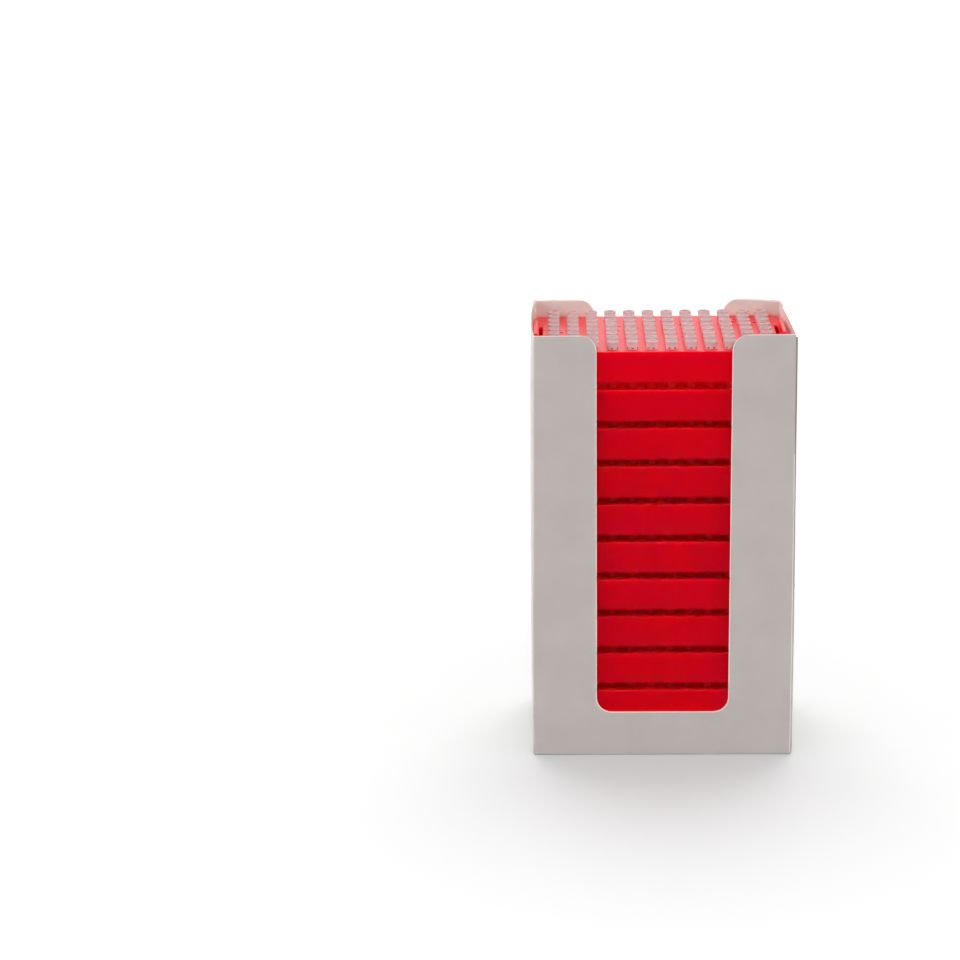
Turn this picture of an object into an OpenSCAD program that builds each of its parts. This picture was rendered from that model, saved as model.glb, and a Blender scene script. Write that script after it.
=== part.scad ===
// Card sleeve with a stack of ten reload racks of pipette tips.
// One folded card sleeve, open at the top and cut out front and rear, holds ten moulded racks.
// Every rack carries a grid of separate tips, and stands on the end lugs of the rack below it.
// The lowest rack stands on a folded card stand, which keeps the points of its tips off the floor.
// Origin: centre of the sleeve's bottom face. +X runs to the right, +Y to the rear, +Z up.

/* [Tip grid] */
// Distance between the axes of neighbouring tips
tip_pitch = 9; // [8.5:0.25:10]
// Outermost column of tips to the end face of the rack
end_margin = 9.2; // [8.6:0.1:12]
// Outermost row of tips to the long face of the rack
side_margin = 6.15; // [5.4:0.05:9]

/* [Rack] */
// Height of a rack from the lower edge of its skirt to the top of its plate
rack_h = 14.8; // [11:0.05:18]
// Thickness of the plate that the tips hang in
plate_t = 1.5; // [1:0.1:2.5]
// Thickness of the skirt round the plate
skirt_t = 1.2; // [0.8:0.1:2]
// Radius of the upright corners of the rack
rack_corner_r = 5; // [3:0.5:8]
// Height of the end lugs, which is the gap between two racks
lug_h = 3.45; // [2.5:0.05:6]
// Length of an end lug
lug_l = 28; // [16:1:40]
// Thickness of an end lug
lug_t = 2.2; // [1.4:0.1:2.6]
// Length of the slot behind an end lug
slot_l = 30; // [16:1:40]
// Width of the slot behind an end lug
slot_w = 1.9; // [1:0.1:2.2]

/* [Tip] */
// Length of a tip
tip_len = 31.5; // [28:0.5:36]
// Height of the head that stands above the plate
head_h = 3.9; // [3.4:0.1:5]
// Diameter of the head
head_d = 5.1; // [5.05:0.05:5.6]
// Distance that the rim stands out from the head
rim_lip = 0.25; // [0.05:0.05:0.4]
// Height of the rim
rim_h = 1.1; // [0.6:0.1:1.5]
// Chamfer round the top of the rim
rim_chamfer = 0.35; // [0.1:0.05:0.6]
// Diameter of the shank just under the plate's top
shank_d = 4.5; // [4.3:0.05:4.6]
// Gap all round the shank in its hole
hole_clear = 0.2; // [0.1:0.02:0.24]
// Diameter of the socket for the pipette's nose
socket_d = 3.9; // [3.5:0.05:4.1]
// Depth of the socket's straight part
socket_h = 3; // [2:0.1:3.4]
// Length of the slender end of a tip
stem_l = 13.5; // [10:0.5:16]
// Diameter of a tip where its slender end starts
stem_d = 2.6; // [2.2:0.1:3]
// Wall of the slender end where it starts
stem_wall = 0.35; // [0.25:0.05:0.5]
// Diameter of the point
point_d = 0.9; // [0.7:0.05:1.2]
// Diameter of the opening in the point
orifice_d = 0.4; // [0.3:0.05:0.5]

/* [Sleeve] */
// Thickness of the card
card_t = 0.45; // [0.35:0.05:0.7]
// Gap between each end of a rack and the end wall, with the stack in the middle
end_gap = 1.55; // [1.1:0.05:3]
// Distance that the stack has slid from the middle towards the left end wall
stack_slide = 1; // [0:0.05:1.5]
// Gap between the long face of a rack and the glue tab
face_gap = 0.15; // [0.1:0.05:1]
// Rise of the walls above the plate of the top rack
sleeve_rise = 7.95; // [5:0.05:14]
// Inside radius of the upright folds
fold_in_r = 0.4; // [0.2:0.1:1]
// Outward bow of the end walls, halfway between their folds
end_bow = 1.6; // [0.4:0.1:3]
// Width of the cut-outs in the front and rear walls
window_w = 62; // [40:1:80]
// Height of the lower edge of the cut-outs above the floor
window_sill = 21.75; // [12:0.25:60]
// Radius of the lower corners of the cut-outs
window_corner_r = 7; // [4:0.5:14]
// Radius of the walls' top corners beside the cut-outs
ear_r = 7.5; // [4:0.5:14]
// Length of the dust flaps folded in under the ends
dust_flap_l = 45; // [25:1:52]
// Groove between the free edge of the outer flap and the rear wall
flap_groove = 0.8; // [0.4:0.1:2]
// Width of the tab that closes the sleeve
glue_tab_w = 14; // [8:1:24]
// Distance that the front wall's glued edge stops short of the right end
seam_setback = 0.8; // [0.6:0.1:2]

/* [Stand] */
// Gap between the points of the lowest tips and the dust flaps
point_gap = 3.2; // [1.5:0.05:6]
// Gap between the lowest tips and the edge of the stand's opening
stand_clear = 0.5; // [0.3:0.1:1]
// Radius of the corners of the stand's opening
stand_hole_r = 3; // [1:0.5:4]

/* [Hidden] */
$fn = 48;
// Overrun of a cutter past the face that it cuts
over = 1;
// Columns and rows of tips in a rack, and racks in the stack
grid_cols = 12;
grid_rows = 8;
rack_count = 10;
// Layers of card in the glued bottom
bottom_layers = 3;

card_color = [0.74, 0.71, 0.69];
rack_color = [0.80, 0.02, 0.08, 0.95];
tip_color = [0.90, 0.80, 0.80, 0.85];

grid_w = (grid_cols - 1) * tip_pitch;
grid_d = (grid_rows - 1) * tip_pitch;
rack_w = grid_w + 2 * end_margin;
rack_d = grid_d + 2 * side_margin;
rack_pitch = rack_h + lug_h;
hole_d = shank_d + 2 * hole_clear;

inner_w = rack_w + 2 * end_gap;
inner_d = rack_d + 2 * (face_gap + card_t);
sleeve_w = inner_w + 2 * card_t;
sleeve_d = inner_d + 2 * card_t;
floor_t = bottom_layers * card_t;
fold_out_r = fold_in_r + card_t;
// Half of the width over which an end wall bows: it starts a little way in from each fold
bow_half = sleeve_d / 2 - 2 * fold_out_r;
// Radius of the arc that the outside of an end wall follows
bow_r = (pow(bow_half, 2) + pow(end_bow, 2)) / (2 * end_bow);

stand_h = tip_len - head_h - rack_h + point_gap;
top_plate_z = floor_t + stand_h + rack_count * rack_pitch - lug_h;
sleeve_h = top_plate_z + sleeve_rise;

// Number of a rack, counted from the top of the stack, as two digits
function two_digits(level) = str(level < 10 ? "0" : "", level);
function rack_name(level) = str("rack_", two_digits(level));
function tips_name(level) = str("tips_", two_digits(level));
// Height of the lower edge of a rack's skirt
function rack_z(level) = floor_t + stand_h + (rack_count - level) * rack_pitch;

// Rectangle of the given outer size with four true arcs at its corners
module rounded_rect(w, d, r) {
    square([w - 2 * r, d], center = true);
    square([w, d - 2 * r], center = true);
    for (x = [-1, 1], y = [-1, 1])
        translate([x * (w / 2 - r), y * (d / 2 - r)]) circle(r);
}

// Places its children on the axis of every tip in the grid
module on_grid() {
    for (col = [0:grid_cols - 1], row = [0:grid_rows - 1])
        translate([col * tip_pitch - grid_w / 2, row * tip_pitch - grid_d / 2, 0])
            children();
}

// Plan of the sleeve, the given distance in from its outside: a rectangle with round corners
// whose two ends bow outwards
module sleeve_plan(inset) {
    straight_d = sleeve_d - 2 * fold_out_r;
    rounded_rect(sleeve_w - 2 * inset, sleeve_d - 2 * inset, fold_out_r - inset);
    for (side = [-1, 1])
        intersection() {
            translate([side * (sleeve_w / 2 + end_bow - bow_r), 0]) circle(bow_r - inset, $fn = 720);
            translate([side * sleeve_w / 2, 0]) square([sleeve_w, straight_d], center = true);
        }
}

// Outline of a cut-out in the wall, in X and Z: a slot with round lower corners, open at the
// top, where the wall on each side of it ends in a round corner
module window_outline() {
    low = window_sill + window_corner_r;
    high = sleeve_h - ear_r;
    translate([-window_w / 2, low]) square([window_w, sleeve_h + over - low]);
    translate([-window_w / 2 + window_corner_r, window_sill])
        square([window_w - 2 * window_corner_r, window_corner_r]);
    for (side = [-1, 1])
        translate([side * (window_w / 2 - window_corner_r), low]) circle(window_corner_r);
    difference() {
        translate([-window_w / 2 - ear_r, high]) square([window_w + 2 * ear_r, ear_r + over]);
        for (side = [-1, 1])
            translate([side * (window_w / 2 + ear_r), high]) circle(ear_r);
    }
}

// The four upright walls, folded from one strip of card
module sleeve_walls() {
    difference() {
        linear_extrude(sleeve_h)
            difference() {
                sleeve_plan(0);
                sleeve_plan(card_t);
            }
        translate([0, sleeve_d / 2 + over, 0])
            rotate([90, 0, 0]) linear_extrude(sleeve_d + 2 * over) window_outline();
        translate([sleeve_w / 2 - seam_setback, -sleeve_d / 2 - over, -over])
            cube([seam_setback + end_bow + over, card_t + over, sleeve_h + 2 * over]);
    }
}

// The glued bottom: the outer flap from the front wall, the inner flap from the rear wall, and
// a dust flap from each end on top of them
module sleeve_bottom() {
    difference() {
        linear_extrude(floor_t) sleeve_plan(card_t);
        translate([-inner_w / 2, inner_d / 2 - flap_groove, -over])
            cube([inner_w, flap_groove, card_t + over]);
        translate([0, 0, floor_t])
            cube([inner_w - 2 * dust_flap_l, inner_d, 2 * card_t], center = true);
    }
}

// The tab of the right end wall, glued to the inside of the front wall, with a mitred top
module glue_tab() {
    translate([inner_w / 2, card_t - inner_d / 2, 0])
        rotate([90, 0, 0])
            linear_extrude(card_t)
                polygon([
                    [0, 0], [0, sleeve_h],
                    [-glue_tab_w, sleeve_h - glue_tab_w / 2], [-glue_tab_w, 0]
                ]);
}

module card_sleeve() {
    color(card_color) {
        sleeve_walls();
        sleeve_bottom();
        glue_tab();
    }
}

// A shallow folded frame of card: four walls under a top panel with a wide opening for the
// lowest tips
module card_stand() {
    opening_w = grid_w + shank_d + 2 * stand_clear;
    opening_d = grid_d + shank_d + 2 * stand_clear;
    color(card_color)
        translate([-stack_slide, 0, floor_t])
            difference() {
                linear_extrude(stand_h) rounded_rect(rack_w, rack_d, fold_out_r);
                translate([0, 0, -over])
                    linear_extrude(stand_h - card_t + over)
                        rounded_rect(rack_w - 2 * card_t, rack_d - 2 * card_t, fold_in_r);
                linear_extrude(stand_h + over) rounded_rect(opening_w, opening_d, stand_hole_r);
            }
}

// The two lugs on the ends of the plate, which carry the skirt of the next rack
module end_lugs() {
    for (side = [-1, 1])
        translate([side * (rack_w - lug_t) / 2, 0, rack_h + lug_h / 2])
            cube([lug_t, lug_l, lug_h], center = true);
}

// A slot through the plate along the inner face of each lug
module lug_slots() {
    for (side = [-1, 1])
        translate([side * (rack_w / 2 - lug_t - slot_w / 2), 0, rack_h - plate_t / 2])
            cube([slot_w, slot_l, plate_t + 2 * over], center = true);
}

// A moulded tray turned upside down: a plate with a hole for each tip, and a skirt round it
module rack(level) {
    color(rack_color)
        translate([-stack_slide, 0, rack_z(level)]) {
            difference() {
                linear_extrude(rack_h) rounded_rect(rack_w, rack_d, rack_corner_r);
                translate([0, 0, -over])
                    linear_extrude(rack_h - plate_t + over)
                        rounded_rect(rack_w - 2 * skirt_t, rack_d - 2 * skirt_t, rack_corner_r - skirt_t);
                translate([0, 0, rack_h - plate_t - over])
                    on_grid() cylinder(d = hole_d, h = plate_t + 2 * over);
                lug_slots();
            }
            end_lugs();
        }
}

// One tip, turned about its axis, with the plate's top at height 0: outside from the mouth of
// the socket down to the point, and back up inside
module tip() {
    stem_z = head_h - tip_len + stem_l;
    rotate_extrude()
        polygon([
            [socket_d / 2, head_h],
            [head_d / 2 + rim_lip - rim_chamfer, head_h],
            [head_d / 2 + rim_lip, head_h - rim_chamfer],
            [head_d / 2 + rim_lip, head_h - rim_h],
            [head_d / 2, head_h - rim_h],
            [head_d / 2, 0],
            [shank_d / 2, 0],
            [stem_d / 2, stem_z],
            [point_d / 2, head_h - tip_len],
            [orifice_d / 2, head_h - tip_len],
            [stem_d / 2 - stem_wall, stem_z],
            [socket_d / 2, head_h - socket_h]
        ]);
}

// The full load of a rack: one separate tip in every hole
module tips(level) {
    color(tip_color)
        translate([-stack_slide, 0, rack_z(level) + rack_h]) on_grid() tip();
}

card_sleeve();
card_stand();
for (level = [1:rack_count])
    rack(level);
for (level = [1:rack_count])
    tips(level);
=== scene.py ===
import math

import bpy
import numpy as np
from mathutils import Matrix, Vector


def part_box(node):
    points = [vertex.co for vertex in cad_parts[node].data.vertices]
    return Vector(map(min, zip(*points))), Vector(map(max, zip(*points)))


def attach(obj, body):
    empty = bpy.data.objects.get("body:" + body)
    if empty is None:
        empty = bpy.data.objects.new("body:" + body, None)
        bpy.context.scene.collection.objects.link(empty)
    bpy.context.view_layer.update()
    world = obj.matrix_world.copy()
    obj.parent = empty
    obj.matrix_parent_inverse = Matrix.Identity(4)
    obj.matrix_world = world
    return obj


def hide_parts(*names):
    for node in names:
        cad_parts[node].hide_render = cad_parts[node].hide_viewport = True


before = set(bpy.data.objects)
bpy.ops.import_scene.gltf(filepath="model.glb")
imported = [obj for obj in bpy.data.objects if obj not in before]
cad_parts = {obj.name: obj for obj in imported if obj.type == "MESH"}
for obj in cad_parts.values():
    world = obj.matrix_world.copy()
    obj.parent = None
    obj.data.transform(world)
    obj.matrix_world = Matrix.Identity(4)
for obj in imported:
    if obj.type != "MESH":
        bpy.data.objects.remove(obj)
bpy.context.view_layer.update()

# The looks of a card sleeve that holds ten reload racks full of pipette tips.
# Shapes are worked out in millimetres as whole arrays, and go into their meshes in metres.
# A surface is a pair (points, quads): rows of X, Y, Z, and rows of four point numbers.

MM = 0.001


def node_box(name):
    """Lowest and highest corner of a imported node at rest, in millimetres."""
    low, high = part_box(name)
    return np.array(low) / MM, np.array(high) / MM


# ---- Sizes, in millimetres ----

RACK_COUNT = 10
COLUMNS = 12
ROWS = 8
TIP_PITCH = 9.0

PLATE_T = 1.5
SKIRT_T = 1.2
RACK_CORNER_R = 5.0
HOLE_R = 2.45
LUG_H = 3.45
LUG_L = 28.0
# Strip of plate outside a slot, and the lug that stands on its outer side
LUG_STRIP_W = 2.2
LUG_T = 1.8
SLOT_L = 30.0
SLOT_W = 1.9
# Radius of the moulded edges of a rack
RACK_EDGE_R = 0.2
# Foot of the skirt: how high it is, and how far it stands proud of the rest
SKIRT_FOOT_H = 1.8
SKIRT_FOOT_STEP = 0.06
# Steps of points along each side of a hole's square and round each corner of a rack
SQUARE_STEPS = 6
CORNER_STEPS = 8
# Distance between the points along a rack's sides
POINT_GAP = TIP_PITCH / SQUARE_STEPS

HEAD_H = 3.9
HEAD_R = 2.70
RIM_R = 2.80
TIP_LEN = 31.5
# Narrow lower part of a tip
STEM_L = 13.5
# Slots round the foot of a head: their foot and top above the plate, and how far they cut in
SLOT_FOOT = 0.35
SLOT_TOP = 1.1
SLOT_DEPTH = 0.30
# Radii between which a face at the height of the slots belongs to one of them, which is painted a
# dark red as painted shade
SLOT_INNER_R = HEAD_R - 0.5
SLOT_OUTER_R = HEAD_R - 0.14

CARD_T = 0.45
FOLD_R = 0.85
# Outside radius of the tighter folds round the bottom
FOOT_R = 0.55
# Width of the pale worn line along a cut edge, and of the flat strip beside a fold
EDGE_BAND = 0.38
WINDOW_W = 62.0
WINDOW_SILL = 21.75
WINDOW_R = 7.0
EAR_R = 7.5
GLUE_TAB_W = 14.0
# How far the front wall's free edge stops short of the right fold
SEAM_SETBACK = 0.8
# Bottom flaps: how far the rear one and the two end ones reach, and the gap behind the front one
REAR_FLAP_L = 70.0
DUST_FLAP_L = 45.0
FLAP_GROOVE = 0.8

rack_low, rack_high = node_box("rack_01")
STACK_X = (rack_low[0] + rack_high[0]) / 2
RACK_W = rack_high[0] - rack_low[0]
RACK_D = rack_high[1] - rack_low[1]
RACK_H = rack_high[2] - rack_low[2] - LUG_H
PLATE_TOP = rack_high[2] - LUG_H
GRID_W = COLUMNS * TIP_PITCH
GRID_D = ROWS * TIP_PITCH

sleeve_high = node_box("card_sleeve")[1]
SLEEVE_H = sleeve_high[2]
HALF_D = sleeve_high[1]
# The end walls bow out past the folds, which are this far from the middle, and stay just
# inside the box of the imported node
HALF_W = 60.7
END_BOW = sleeve_high[0] - HALF_W - 0.03


# ---- Surfaces ----

def grid_quads(rows, cols, close_rows=False, close_cols=False):
    """Quads between neighbouring points of a grid that is numbered row by row."""
    r, c = np.meshgrid(np.arange(rows if close_rows else rows - 1),
                       np.arange(cols if close_cols else cols - 1), indexing="ij")
    next_r = (r + 1) % rows
    next_c = (c + 1) % cols
    corners = (r * cols + c, r * cols + next_c, next_r * cols + next_c, next_r * cols + c)
    return np.stack(corners, axis=-1).reshape(-1, 4)


def grid_surface(points, close_rows=False, close_cols=False):
    """Surface through a grid of points, given as an array of rows, columns and X, Y, Z."""
    rows, cols = points.shape[:2]
    return points.reshape(-1, 3), grid_quads(rows, cols, close_rows, close_cols)


def flipped(surface):
    """The same surface with its faces turned round."""
    points, quads = surface
    return points, quads[:, ::-1]


def joined(surfaces):
    """One surface out of several."""
    starts = np.cumsum([0] + [len(points) for points, quads in surfaces])
    points = np.concatenate([points for points, quads in surfaces])
    quads = np.concatenate([quads + start for (_, quads), start in zip(surfaces, starts)])
    return points, quads


def welded(surface, tolerance=0.002):
    """Makes one point of all those that fall on the same spot, to a rounded place. The offset
    keeps round numbers off the edges between one place and the next."""
    points, quads = surface
    offset = 0.21
    keys = np.round(points / tolerance + offset).astype(np.int64)
    _, first, number = np.unique(keys, axis=0, return_index=True, return_inverse=True)
    return points[first], number.reshape(-1)[quads]


def face_lists(quads):
    """Faces without repeated points: a quad with two equal corners is a triangle, or nothing."""
    repeats = quads == np.roll(quads, -1, axis=1)
    whole = quads[~repeats.any(axis=1)].tolist()
    pinched = [list(dict.fromkeys(quad)) for quad in quads[repeats.any(axis=1)].tolist()]
    return whole + [face for face in pinched if len(face) == 3]


def new_piece(name, surface, replaced, materials, sharp_deg=32.0):
    """Mesh object of a surface, which stands for the nodes it replaces."""
    points, quads = surface
    mesh = bpy.data.meshes.new(name)
    mesh.from_pydata((points * MM).tolist(), [], face_lists(quads))
    mesh.validate()
    mesh.polygons.foreach_set("use_smooth", np.ones(len(mesh.polygons), dtype=bool))
    mesh.set_sharp_from_angle(angle=math.radians(sharp_deg))
    for material in materials:
        mesh.materials.append(material)
    piece = bpy.data.objects.new(name, mesh)
    bpy.context.scene.collection.objects.link(piece)
    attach(piece, "root")
    if replaced:
        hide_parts(*replaced)
    return piece


def face_values(mesh, kind):
    """The "center" or the "normal" of each face of a mesh, as rows of X, Y, Z."""
    values = np.empty(3 * len(mesh.polygons))
    mesh.polygons.foreach_get(kind, values)
    return values.reshape(-1, 3)


# ---- Materials ----

def srgb(red, green, blue):
    """Linear colour of an sRGB colour with channels from 0 to 255."""
    channels = np.array([red, green, blue]) / 255.0
    linear = np.where(channels <= 0.04045, channels / 12.92, ((channels + 0.055) / 1.055) ** 2.4)
    return (*linear.tolist(), 1.0)


class Finish:
    """A node material with one Principled shader, and short ways to add to it."""

    def __init__(self, name, **settings):
        self.material = bpy.data.materials.new(name)
        self.material.use_nodes = True
        self.nodes = self.material.node_tree.nodes
        self.links = self.material.node_tree.links
        self.shader = self.nodes["Principled BSDF"]
        self.coords = self.nodes.new("ShaderNodeTexCoord").outputs["Object"]
        for socket, value in settings.items():
            self.shader.inputs[socket.replace("_", " ")].default_value = value

    def noise(self, scale, detail=2.0, stretch=(1.0, 1.0, 1.0), roughness=0.5):
        """Noise over the object, in cycles to the metre, stretched along the axes."""
        mapping = self.nodes.new("ShaderNodeMapping")
        mapping.inputs["Scale"].default_value = stretch
        self.links.new(self.coords, mapping.inputs["Vector"])
        noise = self.nodes.new("ShaderNodeTexNoise")
        noise.inputs["Scale"].default_value = scale
        noise.inputs["Detail"].default_value = detail
        noise.inputs["Roughness"].default_value = roughness
        self.links.new(mapping.outputs["Vector"], noise.inputs["Vector"])
        return noise.outputs["Fac"]

    def spread(self, value, low, high, from_low=0.0, from_high=1.0):
        """The value, moved from one range to another."""
        node = self.nodes.new("ShaderNodeMapRange")
        for socket, number in (("From Min", from_low), ("From Max", from_high),
                               ("To Min", low), ("To Max", high)):
            node.inputs[socket].default_value = number
        self.links.new(value, node.inputs["Value"])
        return node.outputs["Result"]

    def ramp(self, value, stops):
        """A colour for the value, between stops of (place, colour)."""
        node = self.nodes.new("ShaderNodeValToRGB")
        node.color_ramp.elements[0].position = stops[0][0]
        node.color_ramp.elements[0].color = stops[0][1]
        node.color_ramp.elements[1].position = stops[-1][0]
        node.color_ramp.elements[1].color = stops[-1][1]
        for place, color in stops[1:-1]:
            node.color_ramp.elements.new(place).color = color
        self.links.new(value, node.inputs["Fac"])
        return node.outputs["Color"]

    def height(self):
        """Height of the shaded point above the floor, in metres."""
        split = self.nodes.new("ShaderNodeSeparateXYZ")
        self.links.new(self.coords, split.inputs["Vector"])
        return split.outputs["Z"]

    def feed(self, socket, value):
        """Links a varying value to a socket of the shader."""
        self.links.new(value, self.shader.inputs[socket])

    def bump(self, value, distance, strength=1.0):
        """Bumps of the given depth, in metres."""
        node = self.nodes.new("ShaderNodeBump")
        node.inputs["Strength"].default_value = strength
        node.inputs["Distance"].default_value = distance
        self.links.new(value, node.inputs["Height"])
        self.links.new(node.outputs["Normal"], self.shader.inputs["Normal"])


# How far above the top plate the card inside still has its painted glow
PAINTED_GLOW_FADE_H = 5.5


def card_finish(name, dark, light, gloss=0.35, rough=0.45, painted_glow=0.0):
    """Uncoated folding board: two close shades in soft clouds, and a fine tooth of fibres. Its
    glow is painted light, an emission that stands for the red light the racks send on to the
    card. It fades out above the top plate."""
    finish = Finish(name, Roughness=rough, Specular_IOR_Level=gloss)
    clouds = finish.noise(55.0, detail=5.0, roughness=0.62)
    finish.feed("Base Color", finish.ramp(clouds, [(0.32, dark), (0.68, light)]))
    finish.bump(finish.noise(2600.0, detail=3.0, stretch=(1.0, 1.0, 0.45)), 0.00003, 0.5)
    if painted_glow:
        finish.shader.inputs["Emission Color"].default_value = (1.0, 0.42, 0.36, 1.0)
        painted_glow_end = PLATE_TOP + PAINTED_GLOW_FADE_H
        fade = finish.spread(finish.height(), painted_glow, 0.0, PLATE_TOP * MM, painted_glow_end * MM)
        finish.feed("Emission Strength", fade)
    return finish.material


def seam_board_and_painted_shade():
    """The fold beside the seam: bare brown grey board, painted darker and browner towards the top
    as painted shade, where it stands open, and paler towards the foot, where it is pressed flat."""
    finish = Finish("board at the seam with painted shade", Roughness=0.7, Specular_IOR_Level=0.2)
    fibres = finish.noise(140.0, detail=4.0, stretch=(1.0, 1.0, 0.25))
    uneven = finish.nodes.new("ShaderNodeMath")
    uneven.operation = "MULTIPLY_ADD"
    uneven.inputs[1].default_value = 0.25
    finish.links.new(fibres, uneven.inputs[0])
    finish.links.new(finish.spread(finish.height(), 0.0, 0.8, 0.05, 0.16), uneven.inputs[2])
    finish.feed("Base Color", finish.ramp(uneven.outputs[0], [
        (0.1, srgb(205, 198, 191)), (0.5, srgb(176, 160, 148)), (0.9, srgb(150, 133, 119))]))
    return finish.material


def rack_finish(name, gloss, red):
    """Translucent red moulding: clear red that light soaks into, with faint flow marks. The red
    channel of its colour and its gloss are given: faces that point up get a darker red, as
    painted shade, and more gloss than the skirt."""
    finish = Finish(name, IOR=1.5, Specular_IOR_Level=gloss,
                    Subsurface_Weight=1.0, Subsurface_Radius=(1.0, 0.02, 0.02),
                    Subsurface_Scale=0.006)
    flow = finish.noise(38.0, detail=3.0, stretch=(0.35, 0.35, 1.6))
    shades = [(0.3, srgb(red, 0, 26)), (0.7, srgb(red + 2, 0, 36))]
    finish.feed("Base Color", finish.ramp(flow, shades))
    finish.feed("Roughness", finish.spread(finish.noise(160.0, detail=3.0), 0.24, 0.34))
    finish.bump(finish.noise(420.0, detail=2.0), 0.00002, 0.35)
    return finish.material


def tip_finish(name, dark, light, gloss, rough, soak):
    """Frosted natural plastic, which light soaks into for the given distance in metres."""
    finish = Finish(name, IOR=1.49, Specular_IOR_Level=gloss,
                    Subsurface_Weight=1.0, Subsurface_Radius=(1.0, 0.7, 0.7),
                    Subsurface_Scale=soak)
    haze = finish.noise(300.0, detail=2.0)
    finish.feed("Base Color", finish.ramp(haze, [(0.3, dark), (0.7, light)]))
    uneven = finish.noise(900.0, detail=2.0)
    finish.feed("Roughness", finish.spread(uneven, rough - 0.05, rough + 0.05))
    return finish.material


CARD_FACE = card_finish("card face", srgb(194, 186, 182), srgb(200, 192, 188))
# The inside is painted lighter and pinker than the face, as painted red bounce light from the racks,
# and has a painted red glow near the top plate
CARD_INSIDE_PAINTED_PINK = card_finish("card inside", srgb(203, 192, 186), srgb(209, 198, 192),
                          0.12, 0.25, 0.18)
CARD_EDGE = card_finish("cut card edge", srgb(246, 232, 225), srgb(252, 241, 235))
# Raw board at the seam, with painted shade that darkens it towards the top
SEAM_BOARD_PAINTED_SHADE = seam_board_and_painted_shade()
SKIRT_PLASTIC = rack_finish("moulded red plastic", 0.02, 246)
# Faces that point up are painted a darker red than the rest: painted shade against the stronger light
# from above
RED_FACING_UP_PAINTED_DARKER = rack_finish("moulded red plastic facing up, painted darker", 0.42, 226)
# The tips' pink grey is partly painted light: the red of the plate that shows through the clear
# plastic
TIP_PLASTIC = tip_finish("frosted clear plastic", srgb(188, 165, 165), srgb(194, 171, 171),
                         0.2, 0.35, 0.0015)
# Below the top plate only red light reaches the tips: their colour is painted red to stand for it
TIPS_PAINTED_IN_RED_LIGHT = tip_finish("frosted plastic painted in red light", srgb(248, 30, 40), srgb(250, 40, 50),
                        0.12, 0.30, 0.010)
# The slots are painted a dark red: painted shade where they open on the dark red inside
TIP_SLOT_PAINTED_SHADE = tip_finish("painted shade in a tip's slot", srgb(180, 60, 78), srgb(188, 66, 84), 0.05, 0.5, 0.001)


# ---- Racks ----

def evenly(half):
    """Places from -half to half, as far apart as the points along the squares of the holes."""
    return np.arange(-half, half + POINT_GAP / 2, POINT_GAP)


def four_sides():
    """The sides of a rack, anticlockwise from the right end: for each the turn of its outward
    way, that way, the way along it, and the places of its points along it."""
    for quarter in range(4):
        turn = quarter * math.pi / 2
        out = np.round([math.cos(turn), math.sin(turn)])
        on = np.round([-math.sin(turn), math.cos(turn)])
        yield turn, out, on, evenly(GRID_D / 2 if quarter % 2 == 0 else GRID_W / 2)


def rack_outline(inset):
    """Plan of a rack, the given distance in from its outside, anticlockwise from the right end.

    Each of the four sides is a straight run whose points face those of the grid's rectangle,
    held back to where the round corner starts; a quarter circle follows each side."""
    radius = RACK_CORNER_R - inset
    core = np.array([RACK_W / 2 - RACK_CORNER_R, RACK_D / 2 - RACK_CORNER_R])
    sides = []
    for turn, out, on, along in four_sides():
        half = abs(core @ on)
        reach = abs(core @ out) + radius
        run = np.clip(along, -half, half)[:, None] * on + reach * out
        angles = turn + np.linspace(0, math.pi / 2, CORNER_STEPS + 1)[1:-1]
        corner = core * (np.round(out + on))
        bend = corner + radius * np.stack([np.cos(angles), np.sin(angles)], axis=1)
        sides += [run, bend]
    return np.concatenate(sides)


def grid_rectangle():
    """The rectangle round the grid of holes, with the same count of points as rack_outline."""
    half = np.array([GRID_W / 2, GRID_D / 2])
    sides = []
    for _, out, on, along in four_sides():
        run = along[:, None] * on + abs(half @ out) * out
        sides += [run, np.repeat(run[-1:], CORNER_STEPS - 1, axis=0)]
    return np.concatenate(sides)


def at_height(plan, height):
    """Points of a plan, all at one height."""
    return np.column_stack([plan, np.full(len(plan), height)])


def plate_rows(edge, height):
    """Three rows of points that cross the plate's border: the grid's rectangle and the two
    long edges of the slots, which lie on straight lines from the rectangle to the edge."""
    rectangle = grid_rectangle()
    reach = edge[:, 0].max() - GRID_W / 2
    slot_out = RACK_W / 2 - LUG_STRIP_W - GRID_W / 2
    shares = (0.0, (slot_out - SLOT_W) / reach, slot_out / reach)
    return [at_height(rectangle + share * (edge - rectangle), height) for share in shares]


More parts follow.
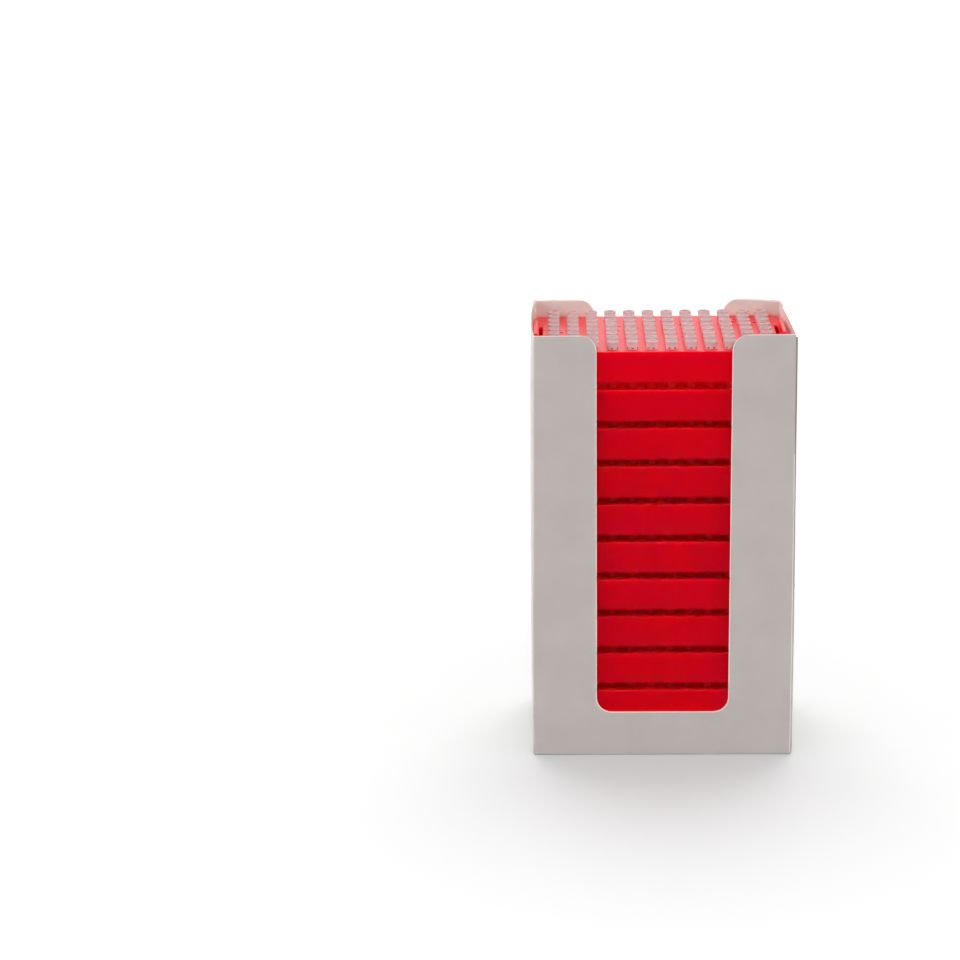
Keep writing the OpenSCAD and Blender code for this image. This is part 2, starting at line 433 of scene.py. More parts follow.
def rack_shell(top):
    """Plate border and skirt of a rack in one sweep.

    A section of insets and heights is carried round the rack's outline: over the plate, down
    the outside, round the skirt's lower edge and up the inside to the underside of the plate.
    The quads over the slots are left out, and walls join the slots' rims."""
    low = top - RACK_H
    under = top - PLATE_T
    edge = RACK_EDGE_R + SKIRT_FOOT_STEP
    foot = SKIRT_T / 2
    section = [(edge - RACK_EDGE_R * math.sin(a), top - RACK_EDGE_R * (1 - math.cos(a)))
               for a in np.linspace(0, math.pi / 2, 5)]
    section += [(SKIRT_FOOT_STEP, low + SKIRT_FOOT_H + SKIRT_FOOT_STEP), (0.0, low + SKIRT_FOOT_H)]
    section += [(foot * (1 - math.cos(a)), low + foot * (1 - math.sin(a)))
                for a in np.linspace(0, math.pi, 7)]
    section += [(SKIRT_T, under)]
    outer = [at_height(rack_outline(inset), z) for inset, z in section]
    over = plate_rows(rack_outline(edge), top)
    below = plate_rows(rack_outline(SKIRT_T), under)[::-1]
    rows = np.stack(over + outer + below)
    points, quads = grid_surface(rows, close_cols=True)
    centre = points[quads].mean(axis=1)
    slot_out = RACK_W / 2 - LUG_STRIP_W
    in_slot = (np.abs(centre[:, 1]) < SLOT_L / 2) & (np.abs(centre[:, 0]) < slot_out)
    in_slot &= np.abs(centre[:, 0]) > slot_out - SLOT_W
    shell = points, quads[~in_slot]
    return [flipped(shell)] + [slot_walls(side, top, under) for side in (-1, 1)]


def slot_walls(side, top, under):
    """The four walls of the slot on one end: its rectangle, carried from top to underside."""
    ys = evenly(SLOT_L / 2)
    x_out = side * (RACK_W / 2 - LUG_STRIP_W)
    x_in = x_out - side * SLOT_W
    loop = np.concatenate([np.column_stack([np.full(len(ys), x_out), ys]),
                           np.column_stack([np.full(len(ys), x_in), ys[::-1]])])
    walls = grid_surface(np.stack([at_height(loop, top), at_height(loop, under)]), close_cols=True)
    return walls if side > 0 else flipped(walls)


def hole_cells(top):
    """Ninety-six squares of the plate, each with its hole.

    Each is a loop that goes from the square over the hole's small chamfer, down the hole and
    out to the square again on the underside."""
    chamfer = 0.2
    side = np.linspace(-TIP_PITCH / 2, TIP_PITCH / 2, SQUARE_STEPS + 1)[:-1]
    end = np.full(SQUARE_STEPS, TIP_PITCH / 2)
    square = np.concatenate([np.column_stack(pair) for pair in
                             ((end, side), (-side, end), (-end, -side), (side, -end))])
    angle = np.linspace(0, 2 * math.pi, 4 * SQUARE_STEPS, endpoint=False) - math.pi / 4
    circle = np.column_stack([np.cos(angle), np.sin(angle)])
    under = top - PLATE_T
    cell = np.stack([
        at_height(square, top),
        at_height(circle * (HOLE_R + chamfer), top),
        at_height(circle * HOLE_R, top - chamfer),
        at_height(circle * HOLE_R, under),
        at_height(square, under),
    ])
    points, quads = grid_surface(cell, close_cols=True)
    centres = tip_centres()
    moved = points[None] + np.column_stack([centres, np.zeros(len(centres))])[:, None]
    numbers = quads[None] + (np.arange(len(centres)) * len(points))[:, None, None]
    return moved.reshape(-1, 3), numbers.reshape(-1, 4)


def tip_centres():
    """Centres of the grid's holes, about the middle of the rack."""
    xs = (np.arange(COLUMNS) - (COLUMNS - 1) / 2) * TIP_PITCH
    ys = (np.arange(ROWS) - (ROWS - 1) / 2) * TIP_PITCH
    return np.stack(np.meshgrid(xs, ys, indexing="ij"), axis=-1).reshape(-1, 2)


def lug(side, top):
    """A lug on one end: a small rounded block, carried up and closed over its top."""
    corner = 0.5
    roll = 0.35
    sunk = 0.3
    half = np.array([LUG_T / 2, LUG_L / 2])
    angles = np.linspace(0, 2 * math.pi, 24, endpoint=False) + math.pi / 24
    way = np.column_stack([np.cos(angles), np.sin(angles)])

    def plan(inset):
        return np.sign(way) * (half - corner) + way * (corner - inset)

    high = top + LUG_H
    rows = [at_height(plan(0.0), top - sunk)]
    rows += [at_height(plan(roll * (1 - math.cos(a))), high - roll * (1 - math.sin(a)))
             for a in np.linspace(0, math.pi / 2, 4)]
    rows += [at_height(plan(corner) * (0.5, 1.0), high), at_height(plan(corner) * 0.0, high)]
    rows = [at_height(plan(corner) * 0.0, top - sunk)] + rows
    points = np.stack(rows) + (side * (RACK_W - LUG_T) / 2, 0.0, 0.0)
    return grid_surface(points, close_cols=True)


def rack_piece(number):
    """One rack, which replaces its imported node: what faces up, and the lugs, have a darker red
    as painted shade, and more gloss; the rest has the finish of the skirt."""
    node = f"rack_{number:02d}"
    top = node_box(node)[1][2] - LUG_H
    parts = rack_shell(top) + [hole_cells(top)] + [lug(side, top) for side in (-1, 1)]
    points, quads = welded(joined(parts))
    points = points + (STACK_X, 0.0, 0.0)
    piece = new_piece(f"rack_moulding_{number:02d}", (points, quads), [node],
                      [SKIRT_PLASTIC, RED_FACING_UP_PAINTED_DARKER])
    faces_up = face_values(piece.data, "normal")[:, 2] > 0.2
    on_lug = face_values(piece.data, "center")[:, 2] / MM > top + 0.1
    piece.data.polygons.foreach_set("material_index", (faces_up | on_lug).astype(np.int32))


# ---- Tips ----

def tip_section():
    """Radii, heights and slot depths down the outside of a tip and back up its bore, with the
    plate's top at height 0. The slot depth is how far the slots round the head's foot cut in."""
    point = HEAD_H - TIP_LEN
    stem = point + STEM_L
    return np.array([
        (1.95, HEAD_H - 0.35, 0.0),
        (2.15, HEAD_H, 0.0),
        (2.48, HEAD_H, 0.0),
        (2.70, HEAD_H - 0.10, 0.0),
        (RIM_R, HEAD_H - 0.34, 0.0),
        (RIM_R, HEAD_H - 0.90, 0.0),
        (2.74, HEAD_H - 1.00, 0.0),
        (HEAD_R, HEAD_H - 1.30, 0.0),
        (HEAD_R, SLOT_TOP, 0.0),
        (HEAD_R, SLOT_TOP - 0.08, SLOT_DEPTH),
        (HEAD_R, SLOT_FOOT + 0.08, SLOT_DEPTH),
        (HEAD_R, SLOT_FOOT, 0.0),
        (2.55, 0.0, 0.0),
        (2.25, 0.0, 0.0),
        (1.30, stem, 0.0),
        (0.45, point, 0.0),
        (0.20, point, 0.0),
        (0.95, stem, 0.0),
        (1.95, HEAD_H - 3.0, 0.0),
    ])


def tip_set(number, seed):
    """The tips of a rack: one turned section, wrapped round its axis, copied to every hole.

    On the top rack, short slots round the foot of the head are cut out of the section by a step
    pattern in the angle. The other tips, of which little shows, have fewer sides and no slots.
    Each tip has its own turn about its axis."""
    section = tip_section()
    if number == 1:
        slots, share, cut = 6, [0.0, 0.33, 0.62, 0.66, 0.96], [0.0, 0.0, 0.0, 1.0, 1.0]
    else:
        slots, share, cut = 8, [0.0, 0.5], [0.0, 0.0]
        section = section[[1, 2, 4, 5, 7, 12, 13, 14, 15, 16, 17, 18]]
    angle = ((np.arange(slots)[:, None] + share) * 2 * math.pi / slots).reshape(-1)
    in_slot = np.tile(cut, slots)
    radius = section[:, 0, None] - section[:, 2, None] * in_slot
    height = np.repeat(section[:, 1, None], len(angle), axis=1)
    centres = tip_centres()
    turn = np.random.default_rng(seed).uniform(0, 2 * math.pi, len(centres))[:, None, None]
    points = np.stack([
        radius * np.cos(angle + turn) + centres[:, 0, None, None],
        radius * np.sin(angle + turn) + centres[:, 1, None, None],
        np.broadcast_to(height, (len(centres), *height.shape)),
    ], axis=-1)
    quads = grid_quads(len(section), len(angle), close_rows=True, close_cols=True)[:, ::-1]
    numbers = quads[None] + (np.arange(len(centres)) * radius.size)[:, None, None]
    return points.reshape(-1, 3), numbers.reshape(-1, 4)


def tip_piece(number):
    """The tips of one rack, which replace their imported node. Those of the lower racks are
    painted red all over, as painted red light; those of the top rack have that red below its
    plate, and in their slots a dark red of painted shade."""
    node = f"tips_{number:02d}"
    plate_top = node_box(node)[1][2] - HEAD_H
    points, quads = tip_set(number, seed=40 + number)
    points = points + (STACK_X, 0.0, plate_top)
    piece = new_piece(f"tip_set_{number:02d}", (points, quads), [node],
                      [TIP_PLASTIC, TIPS_PAINTED_IN_RED_LIGHT, TIP_SLOT_PAINTED_SHADE] if number == 1 else [TIPS_PAINTED_IN_RED_LIGHT], 50.0)
    if number == 1:
        centres = face_values(piece.data, "center") / MM - (STACK_X, 0.0, plate_top)
        from_axis = np.hypot(*(centres[:, :2] % TIP_PITCH - TIP_PITCH / 2).T)
        # Faces in the slots are painted dark red: painted shade
        at_slot = np.abs(centres[:, 2] - (SLOT_TOP + SLOT_FOOT) / 2) < (SLOT_TOP - SLOT_FOOT) / 2
        in_wall = (from_axis < SLOT_OUTER_R) & (from_axis > SLOT_INNER_R)
        # Below the plate the tips are painted red, as painted red light
        below_plate = centres[:, 2] < -0.1
        kind = np.where(at_slot & in_wall, 2, np.where(below_plate, 1, 0))
        piece.data.polygons.foreach_set("material_index", kind.astype(np.int32))


# ---- Card sleeve ----

# The glue tab's outer side, which faces the front wall, and the fold beside the tab
TAB_Y = HALF_D - CARD_T - 0.03
SEAM_Y = FOLD_R - TAB_Y
# How much lower the right end wall's top is at the seam than at the rear fold
TOP_SLOPE = 1.3
# Distances from the middle, along X, at which the card starts to give way and gives way fully
GIVE_FROM = 57.0
GIVE_FULL = 60.0
# How far the left folds lean in at the top, and the reach and push of the bent corner
LEAN_IN = 0.8
BRUISE_W = 11.0
BRUISE_H = 45.0
BRUISE_PUSH = np.array([2.0, 1.0, 0.8])
# Height at which the bottom flaps start to roll in
WALL_FOOT = 1.3
# A point this near a wall's outer side counts as one of the wall's
NEAR = 0.05
# Share of the free edge's height, from the foot up, along which it is worn pale
WORN_SHARE = 0.74
# Steps of points between the narrow strips of an end wall and along the glue tab, then round an
# ear's corner, down the cut-out's side, round half its lower corner and along half its sill
END_STEPS = 18
TAB_STEPS = 5
EAR_STEPS = 10
SIDE_STEPS = 24
FOOT_STEPS = 4
SILL_STEPS = 12


def wall_heights():
    """Heights of the points down a fold, from the top: beside the ear's corner, beside the
    straight of the cut-out, and below it."""
    ear_low = SLEEVE_H - EAR_R
    corner_high = WINDOW_SILL + WINDOW_R
    return np.concatenate([
        [SLEEVE_H],
        np.linspace(SLEEVE_H - EDGE_BAND, ear_low, EAR_STEPS)[:-1],
        np.linspace(ear_low, corner_high, SIDE_STEPS + 1)[:-1],
        np.linspace(corner_high, WALL_FOOT, FOOT_STEPS + 1),
    ])


def foot_places(edge_x):
    """X of the points along the left half of a wall's foot, from the fold to the middle."""
    knee = WINDOW_R - WINDOW_W / 2
    return np.concatenate([np.linspace(edge_x, knee, FOOT_STEPS + 1),
                           np.linspace(knee, 0, SILL_STEPS + 1)[1:]])


def window_edge():
    """Left half of the cut-out's edge, in X and Z, from the ear's top to the middle of the
    sill: a round ear corner, a straight side, a round lower corner and half the sill."""
    half = WINDOW_W / 2
    ear_low = SLEEVE_H - EAR_R
    corner_high = WINDOW_SILL + WINDOW_R
    knee = WINDOW_R - half
    band_angle = math.asin(1 - EDGE_BAND / EAR_R)
    ear = np.concatenate([[math.pi / 2], np.linspace(band_angle, 0, EAR_STEPS)[:-1]])
    lower = np.linspace(math.pi, 1.5 * math.pi, 2 * FOOT_STEPS + 1)
    side = np.linspace(ear_low, corner_high, SIDE_STEPS + 1)[:-1]
    sill = np.linspace(knee, 0, SILL_STEPS + 1)[1:]
    runs = [
        (np.cos(ear) * EAR_R - half - EAR_R, np.sin(ear) * EAR_R + ear_low),
        (np.full(SIDE_STEPS, -half), side),
        (np.cos(lower) * WINDOW_R + knee, np.sin(lower) * WINDOW_R + corner_high),
        (sill, np.full(SILL_STEPS, WINDOW_SILL)),
    ]
    return np.concatenate([np.column_stack(run) for run in runs])


def wall_border(edge_x):
    """Left half of a wall's outer border, point for point with window_edge: down the fold at
    edge_x and along the foot to the middle."""
    down = wall_heights()
    foot = foot_places(edge_x)[1:]
    return np.concatenate([np.column_stack([np.full(len(down), edge_x), down]),
                           np.column_stack([foot, np.full(len(foot), WALL_FOOT)])])


def cut_wall(y, left, right):
    """A wall with a cut-out: straight lines from the edge of the cut-out to the wall's border,
    for the left half, and for the right half its mirror image."""
    halves = []
    for edge, mirror in ((left, 1), (-right, -1)):
        inner = window_edge()
        across = wall_border(edge) - inner
        band = EDGE_BAND / np.linalg.norm(across, axis=1)
        even = np.linspace(0, 1, 7)[:, None] + 0 * band
        share = np.stack([even[0], band, *even[1:-1], 1 - band, even[-1]])[..., None]
        xz = inner + share * across
        points = np.stack([xz[..., 0] * mirror, np.full(xz.shape[:2], y), xz[..., 1]], axis=-1)
        half = grid_surface(points)
        halves.append(half if mirror * y > 0 else flipped(half))
    return joined(halves)


def arc(x, y, radius, start, stop, steps=6):
    """Points of an arc in plan about x and y, between two angles in degrees."""
    angle = np.radians(np.linspace(start, stop, steps + 1))
    return np.column_stack([x + radius * np.cos(angle), y + radius * np.sin(angle)])


def upright(plan, top=SLEEVE_H):
    """A wall or fold that stands on a line in plan, from its top down to the walls' foot. The
    line runs clockwise as seen from above, and its top may have a height for each point."""
    share = (wall_heights() - WALL_FOOT) / (SLEEVE_H - WALL_FOOT)
    heights = WALL_FOOT + share[:, None] * (np.broadcast_to(top, len(plan)) - WALL_FOOT)
    points = np.stack([np.column_stack([plan, row]) for row in heights])
    return grid_surface(points)


def flap(along, height, length):
    """A bottom flap: from the foot of a wall, whose points in plan it is given clockwise, it
    rolls in to its height and runs on for its length. Over the first few millimetres it grows
    narrower by a little on each side."""
    taper = 1.2
    taper_l = 4.0
    way = along[-1] - along[0]
    way = way / np.linalg.norm(way)
    inwards = np.array([way[1], -way[0]])
    middle = (along[0] + along[-1]) / 2
    roll = min(FOOT_R, WALL_FOOT - height)
    rows = [(0.0, WALL_FOOT)] if WALL_FOOT - height > roll else []
    rows += [(roll * (1 - math.cos(a)), height + roll * (1 - math.sin(a)))
             for a in np.linspace(0, math.pi / 2, 6)]
    rows += [(far, height) for far in np.linspace(roll, length, 9)[1:]]
    half = np.linalg.norm(along[-1] - middle)
    points = []
    for far, z in rows:
        narrow = 1 - taper / half * min(far / taper_l, 1.0)
        points.append(at_height(middle + (along - middle) * narrow + far * inwards, z))
    return grid_surface(np.stack(points))


def sleeve_shape(points):
    """How the folded card gives way: the end walls bow out between their folds, the left folds
    lean in towards the top, the folds and the front wall's free edge stand out towards the
    foot, and the right rear corner is bent over a little.

    Each bow is a parabola from fold to fold. It and the drift of the folds change with the
    height, by straight lines between a few heights, given as shares of the sleeve's."""
    x, y, z = points.T
    rise = np.clip(z / SLEEVE_H, 0, 1)
    at_end = np.clip((np.abs(x) - GIVE_FROM) / (GIVE_FULL - GIVE_FROM), 0, 1)
    belly = np.clip(1 - (y / (HALF_D - FOLD_R)) ** 2, 0, 1)
    past_window = np.clip((np.abs(x) - WINDOW_W / 2) / (HALF_W - WINDOW_W / 2), 0, 1)
    swell_left = np.interp(rise, [0.0, 0.04, 0.15, 0.85, 1.0], [0.05, 0.55, 1.0, 1.0, 0.8])
    swell_right = np.interp(rise, [0.0, 0.15, 0.5, 0.85, 1.0], [0.05, 0.7, 1.0, 0.75, 0.1])
    drift = np.interp(rise, [0.0, 0.15, 0.3, 0.45, 0.6, 0.8, 1.0],
                      [0.78, 0.8, 0.72, 0.55, 0.3, 0.1, 0.0])
    rolled = (y < FOOT_R + NEAR - HALF_D) & (z < WALL_FOOT - NEAR)
    on_front = (y < NEAR - HALF_D) | (z < CARD_T / 2) | rolled
    drift = np.where(on_front, 0.0, drift)
    fold_left = np.interp(rise, [0.0, 0.35, 0.6, 0.8, 1.0], [0.6, 0.4, 0.05, -0.05, -0.1])
    out_left = (fold_left + (END_BOW - fold_left) * swell_left * belly) * at_end
    out_left = out_left - LEAN_IN * rise ** 1.6 * past_window
    out_right = (drift + (END_BOW - drift) * swell_right * belly) * at_end
    free_edge = np.interp(rise, [0.0, 0.25, 0.6, 0.9, 1.0], [0.7, 0.7, 0.5, 0.0, -0.15])
    out_right = out_right + np.where(on_front, free_edge, 0.0) * past_window
    bruise = np.exp(-((x - HALF_W) / BRUISE_W) ** 2 - ((z - SLEEVE_H) / BRUISE_H) ** 2)
    bruise = bruise * np.clip(0.5 + y / (2 * HALF_D), 0, 1)
    give = np.column_stack([np.where(x < 0, -out_left, out_right), 0 * y, 0 * z])
    return points + (give - bruise[:, None] * BRUISE_PUSH)


def card_slots(centres):
    """Material number of each face of the skin, from its centre: the pale line along the cut
    edges, the raw fold and tab at the seam, which carry painted shade, and the plain face of
    the card elsewhere."""
    x, y, z = np.abs(centres[:, 0]), centres[:, 1], centres[:, 2]
    ear_x = WINDOW_W / 2 + EAR_R
    ear_low = SLEEVE_H - EAR_R
    in_x = x - (WINDOW_W / 2 - WINDOW_R)
    in_z = WINDOW_SILL + WINDOW_R - z
    past_cut = np.hypot(np.maximum(in_x, 0), np.maximum(in_z, 0)) - WINDOW_R
    past_ear = EAR_R - np.hypot(np.minimum(x - ear_x, 0), np.maximum(z - ear_low, 0))
    in_band = (past_cut < EDGE_BAND) | ((past_ear < EDGE_BAND) & (x < ear_x) & (z > ear_low))
    in_band = in_band & (np.abs(y) > HALF_D - 2 * NEAR) & (z > WALL_FOOT)
    in_band |= z > SLEEVE_H - EDGE_BAND
    free_edge = (y < NEAR - HALF_D) & (centres[:, 0] > HALF_W - SEAM_SETBACK - EDGE_BAND)
    in_band |= free_edge & (z > WALL_FOOT) & (z < WORN_SHARE * SLEEVE_H)
    at_seam = (centres[:, 0] > 0) & (y < SEAM_Y) & (y > 2 * NEAR - HALF_D) & (z > WALL_FOOT)
    return np.where(in_band, 2, np.where(at_seam, 4, 0))


def sleeve_piece():
    """The folded sleeve: the outer skin of its card, thickened inwards.

    The strip goes round from the front wall to the left end, the rear, the right end and the
    tab, which lies behind the front wall's free edge. The tab's top slopes down to its end. One
    flap from each wall makes the floor."""
    fold_x = HALF_W - FOLD_R
    fold_y = HALF_D - FOLD_R
    edge_x = HALF_W - SEAM_SETBACK

    def end_wall(x, start, stop):
        """Plan of an end wall: its folds, a narrow strip beside each, and even steps."""
        beside = math.copysign(EDGE_BAND, stop - start)
        between = np.linspace(start + beside, stop - beside, END_STEPS + 1)
        ys = np.concatenate([[start], between, [stop]])
        return np.column_stack([np.full(len(ys), x), ys])

    left_wall = end_wall(-HALF_W, -fold_y, fold_y)
    right_wall = end_wall(HALF_W, fold_y, SEAM_Y)
    left_end = np.concatenate([arc(-fold_x, -fold_y, FOLD_R, 270, 180), left_wall[1:-1],
                               arc(-fold_x, fold_y, FOLD_R, 180, 90)])
    tab_x = np.linspace(fold_x, fold_x - GLUE_TAB_W, TAB_STEPS + 1)[1:]
    right_end = np.concatenate([arc(fold_x, fold_y, FOLD_R, 90, 0), right_wall[1:-1],
                                arc(fold_x, SEAM_Y, FOLD_R, 0, -90),
                                np.column_stack([tab_x, np.full(TAB_STEPS, -TAB_Y)])])
    mitre = GLUE_TAB_W / 2 * np.clip((fold_x - right_end[:, 0]) / GLUE_TAB_W, 0, 1)
    slope = TOP_SLOPE * np.clip((fold_y - right_end[:, 1]) / (2 * fold_y), 0, 1)
    tab_top = SLEEVE_H - slope - np.where(right_end[:, 1] > SEAM_Y, 0.0, mitre)
    left_foot = foot_places(-fold_x)
    front_foot = np.concatenate([-foot_places(-edge_x), left_foot[-2::-1]])
    rear_foot = np.concatenate([left_foot, -left_foot[-2::-1]])
    skins = [
        cut_wall(-HALF_D, -fold_x, edge_x),
        cut_wall(HALF_D, -fold_x, fold_x),
        upright(left_end),
        upright(right_end, tab_top),
        flap(np.column_stack([front_foot, np.full(len(front_foot), -HALF_D)]), 0.0,
             2 * HALF_D - CARD_T - FLAP_GROOVE),
        flap(np.column_stack([rear_foot, np.full(len(rear_foot), HALF_D)]), CARD_T, REAR_FLAP_L),
        flap(left_wall, 2 * CARD_T, DUST_FLAP_L),
        flap(right_wall, 2 * CARD_T, DUST_FLAP_L),
    ]
    points, quads = welded(joined(skins))
    # Each finish of the skin is followed by the one that the card's inner side has behind it
    piece = new_piece("card_sleeve_folded", (points, quads), ["card_sleeve"],
                      [CARD_FACE, CARD_INSIDE_PAINTED_PINK, CARD_EDGE, CARD_EDGE, SEAM_BOARD_PAINTED_SHADE, CARD_INSIDE_PAINTED_PINK])
    skin = piece.data
    skin.polygons.foreach_set("material_index", card_slots(face_values(skin, "center") / MM))
    skin.vertices.foreach_set("co", (sleeve_shape(points) * MM).reshape(-1))
    thickness = piece.modifiers.new("thickness of the card", "SOLIDIFY")
    thickness.thickness = CARD_T * MM
    thickness.offset = -1.0
    thickness.material_offset = 1
    thickness.material_offset_rim = 2
    graph = bpy.context.evaluated_depsgraph_get()
    thick = bpy.data.meshes.new_from_object(piece.evaluated_get(graph))
    piece.modifiers.clear()
    piece.data = thick
    thick.name = "card_sleeve_folded"
    bpy.data.meshes.remove(skin)
    thick.set_sharp_from_angle(angle=math.radians(40.0))


# ---- The part ----

for level in range(1, RACK_COUNT + 1):
    rack_piece(level)
    tip_piece(level)
sleeve_piece()

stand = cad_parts["card_stand"]
stand.data.materials.clear()
stand.data.materials.append(CARD_FACE)


# ---- Floor and background ----

WHITE = (1.0, 1.0, 1.0, 1.0)
# Light of the sky, from the horizon up to the given height of its direction
SKY_STRENGTH = 0.25
SKY_FULL_AT = 0.8
# Floor: its shade as the eye sees it and as it lights the part, and a glow for the eye alone
FLOOR_SEEN = 0.27
FLOOR_AS_LIGHT = 0.06
FLOOR_GLOW = 0.284
FLOOR_HALF = 12.0


def grey(level):
    """A linear grey."""
    return (level, level, level, 1.0)


def seen_by_eye(tree):
    """One for rays from the camera and from mirror-like and clear surfaces, else nothing."""
    path = tree.nodes.new("ShaderNodeLightPath")
    seen = tree.nodes.new("ShaderNodeMath")
    seen.operation = "MAXIMUM"
    tree.links.new(path.outputs["Is Camera Ray"], seen.inputs[0])
    clear = tree.nodes.new("ShaderNodeMath")
    clear.operation = "MAXIMUM"
    tree.links.new(path.outputs["Is Glossy Ray"], clear.inputs[0])
    tree.links.new(path.outputs["Is Transmission Ray"], clear.inputs[1])
    tree.links.new(clear.outputs[0], seen.inputs[1])
    return seen.outputs[0]


def plain_studio():
    """World: white for the eye, and a soft sky that grows from the horizon up for the part."""
    world = bpy.data.worlds.new("plain studio")
    world.use_nodes = True
    tree = world.node_tree
    sky = tree.nodes["Background"]
    sky.inputs["Color"].default_value = WHITE
    coords = tree.nodes.new("ShaderNodeTexCoord")
    split = tree.nodes.new("ShaderNodeSeparateXYZ")
    level = tree.nodes.new("ShaderNodeMapRange")
    for socket, number in (("From Min", 0.0), ("From Max", SKY_FULL_AT),
                           ("To Min", 0.0), ("To Max", SKY_STRENGTH)):
        level.inputs[socket].default_value = number
    tree.links.new(coords.outputs["Generated"], split.inputs["Vector"])
    tree.links.new(split.outputs["Z"], level.inputs["Value"])
    tree.links.new(level.outputs["Result"], sky.inputs["Strength"])
    white = tree.nodes.new("ShaderNodeBackground")
    white.inputs["Color"].default_value = WHITE
    white.inputs["Strength"].default_value = 1.0
    mix = tree.nodes.new("ShaderNodeMixShader")
    tree.links.new(seen_by_eye(tree), mix.inputs[0])
    tree.links.new(sky.outputs[0], mix.inputs[1])
    tree.links.new(white.outputs[0], mix.inputs[2])
    tree.links.new(mix.outputs[0], tree.nodes["World Output"].inputs["Surface"])
    return world


def floor_finish():
    """Matt floor, paler and with a glow for the eye. The part's shadow shows on it."""
    finish = Finish("white floor", Roughness=0.9, Specular_IOR_Level=0.0, Emission_Color=WHITE)
    seen = seen_by_eye(finish.material.node_tree)
    shade = finish.nodes.new("ShaderNodeMix")
    shade.data_type = "RGBA"
    shade.inputs["A"].default_value = grey(FLOOR_AS_LIGHT)
    shade.inputs["B"].default_value = grey(FLOOR_SEEN)
    finish.links.new(seen, shade.inputs["Factor"])
    finish.feed("Base Color", shade.outputs["Result"])
    finish.feed("Emission Strength", finish.spread(seen, 0.0, FLOOR_GLOW))
    return finish.material


def square_floor():
    """A square floor at height 0, which isn't part of the object."""
    mesh = bpy.data.meshes.new("floor")
    corners = [(x * FLOOR_HALF, y * FLOOR_HALF, 0.0) for x, y in ((-1, -1), (1, -1), (1, 1), (-1, 1))]
    mesh.from_pydata(corners, [], [(0, 1, 2, 3)])
    mesh.materials.append(floor_finish())
    floor = bpy.data.objects.new("floor", mesh)
    bpy.context.scene.collection.objects.link(floor)
    return floor


parts = [thing for thing in bpy.context.scene.collection.objects if thing.type == "MESH"]
floor = square_floor()
bpy.context.scene.world = plain_studio()


# ---- Lamps ----

RACKS = ("rack_moulding",)
TIPS = ("tip_set",)
DEEP_RED = (1.0, 0.0, 0.02)


def lamp_group(name, wanted):
    """A group of those pieces whose name passes a test. A lamp lights, or is stopped by, only
    such a group."""
    group = bpy.data.collections.new(name)
    for thing in parts:
        if wanted(thing.name):
            group.objects.link(thing)
    return group


def on_levels(kinds, first, last):
    """Names of the pieces of some kinds on some levels of the stack, counted from the top."""
    return {f"{kind}_{level:02d}" for kind in kinds for level in range(first, last + 1)}


lower = on_levels(RACKS + TIPS, 2, RACK_COUNT)
lower_racks = on_levels(RACKS, 2, RACK_COUNT)
upper = lamp_group("all but the top tips", lambda name: name != "tip_set_01")
top_tips = lamp_group("top tips", lambda name: name == "tip_set_01")
faces = lamp_group("card and first rack", lambda name: name not in lower | {"tip_set_01"})
deep_faces = lamp_group("lower racks", lambda name: name in lower_racks)
solid = lamp_group("all but tips", lambda name: "tip" not in name)
shells = lamp_group("card", lambda name: name.startswith("card"))
ground = bpy.data.collections.new("ground")
ground.objects.link(floor)


def soft_sun(name, azimuth, elevation, strength, angle, lights_only, shaded_by=None):
    """A sun lamp with a wide disc. Azimuth 0 stands in front, 90 to the right, 180 behind."""
    lamp = bpy.data.lights.new(name, "SUN")
    lamp.energy = strength
    lamp.angle = math.radians(angle)
    sun = bpy.data.objects.new(name, lamp)
    a, e = math.radians(azimuth), math.radians(elevation)
    towards = Vector((math.sin(a) * math.cos(e), -math.cos(a) * math.cos(e), math.sin(e)))
    sun.rotation_euler = towards.to_track_quat("Z", "Y").to_euler()
    sun.light_linking.receiver_collection = lights_only
    sun.light_linking.blocker_collection = shaded_by
    bpy.context.scene.collection.objects.link(sun)
    return lamp


soft_sun("overhead", 180.0, 62.0, 1.6, 45.0, upper)
soft_sun("left", -64.0, 20.0, 2.7, 34.0, faces, solid)
soft_sun("right", 62.0, 20.0, 2.4, 34.0, faces, solid)
soft_sun("overhead, on the tips", 180.0, 62.0, 0.8, 45.0, top_tips, solid)
soft_sun("left, on the tips", -64.0, 20.0, 2.1, 40.0, top_tips, solid)
soft_sun("right, on the tips", 64.0, 20.0, 2.1, 40.0, top_tips, solid)
soft_sun("front, on the tips", 0.0, 12.0, 0.9, 40.0, top_tips, solid)
soft_sun("left, along the racks", -76.0, 15.0, 4.4, 34.0, deep_faces)
soft_sun("right, along the racks", 76.0, 15.0, 4.2, 34.0, deep_faces)
soft_sun("left wall", -90.0, -6.0, 0.5, 8.0, shells, shells)
soft_sun("rear wall", 180.0, 8.0, 1.9, 20.0, shells, shells)
soft_sun("floor from behind", 180.0, 62.0, 4.3, 45.0, ground)
soft_sun("floor from above", 0.0, 90.0, 4.2, 120.0, ground)


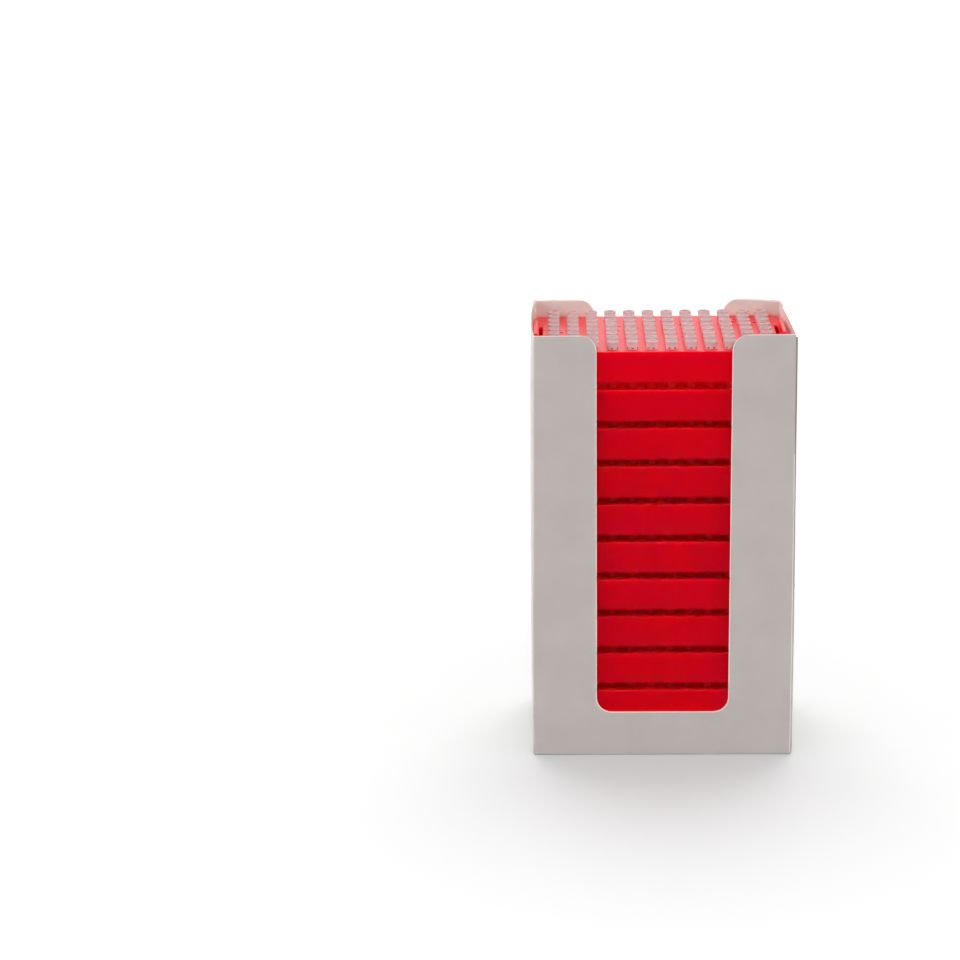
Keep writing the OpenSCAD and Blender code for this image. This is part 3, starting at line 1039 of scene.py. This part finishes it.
def red_light(title, kinds, first, last, azimuth, elevation, strength, angle, shaded_by):
    """A red lamp for the pieces of some kinds on some levels of the stack."""
    names = on_levels(kinds, first, last)
    group = lamp_group(title, lambda name: name in names)
    lamp = soft_sun(f"red light, {title}", azimuth, elevation, strength, angle, group, shaded_by)
    lamp.color = DEEP_RED


# Red light soaks through the racks, from plate to plate and less of it at each level. These
# lamps stand for it: those from above are stopped only by the card, and those from the front
# and the side only by the floor, because that light comes through the part itself
red_light("first rack", RACKS, 1, 1, -60.0, 10.0, 0.95, 80.0, ground)
red_light("second level", RACKS + TIPS, 2, 2, 180.0, 78.0, 0.85, 24.0, shells)
red_light("third level", RACKS + TIPS, 3, 3, 180.0, 78.0, 0.7, 24.0, shells)
red_light("deep levels", RACKS + TIPS, 4, RACK_COUNT, 180.0, 78.0, 0.35, 24.0, shells)
red_light("tips of the second level", TIPS, 2, 2, 0.0, 20.0, 0.35, 80.0, ground)
red_light("tips of the third level", TIPS, 3, 3, 0.0, 20.0, 0.45, 80.0, ground)
red_light("deep tips", TIPS, 4, RACK_COUNT, 0.0, 20.0, 0.22, 80.0, ground)


# ---- Camera ----

SENSOR_W = 36.0
LENS = 102.18
# Turn to the right, tilt down and roll, in radians, and the place in metres
YAW, PITCH, ROLL = -0.0302, 0.2767, -0.0133
PLACE = (-0.04829, -1.25124, 0.48073)

camera_data = bpy.data.cameras.new("camera")
camera_data.sensor_width = SENSOR_W
camera_data.lens = LENS
camera_data.clip_start = 0.05
camera_data.clip_end = 60.0
camera = bpy.data.objects.new("camera", camera_data)
bpy.context.scene.collection.objects.link(camera)
across = math.cos(PITCH)
forward = Vector((math.sin(YAW) * across, math.cos(YAW) * across, -math.sin(PITCH)))
level_right = Vector((math.cos(YAW), -math.sin(YAW), 0.0))
level_up = level_right.cross(forward)
right = math.cos(ROLL) * level_right + math.sin(ROLL) * level_up
up = math.cos(ROLL) * level_up - math.sin(ROLL) * level_right
camera.matrix_world = Matrix((right, up, -forward)).transposed().to_4x4()
camera.location = PLACE
bpy.context.scene.camera = camera
bpy.context.scene.view_settings.view_transform = "Standard"
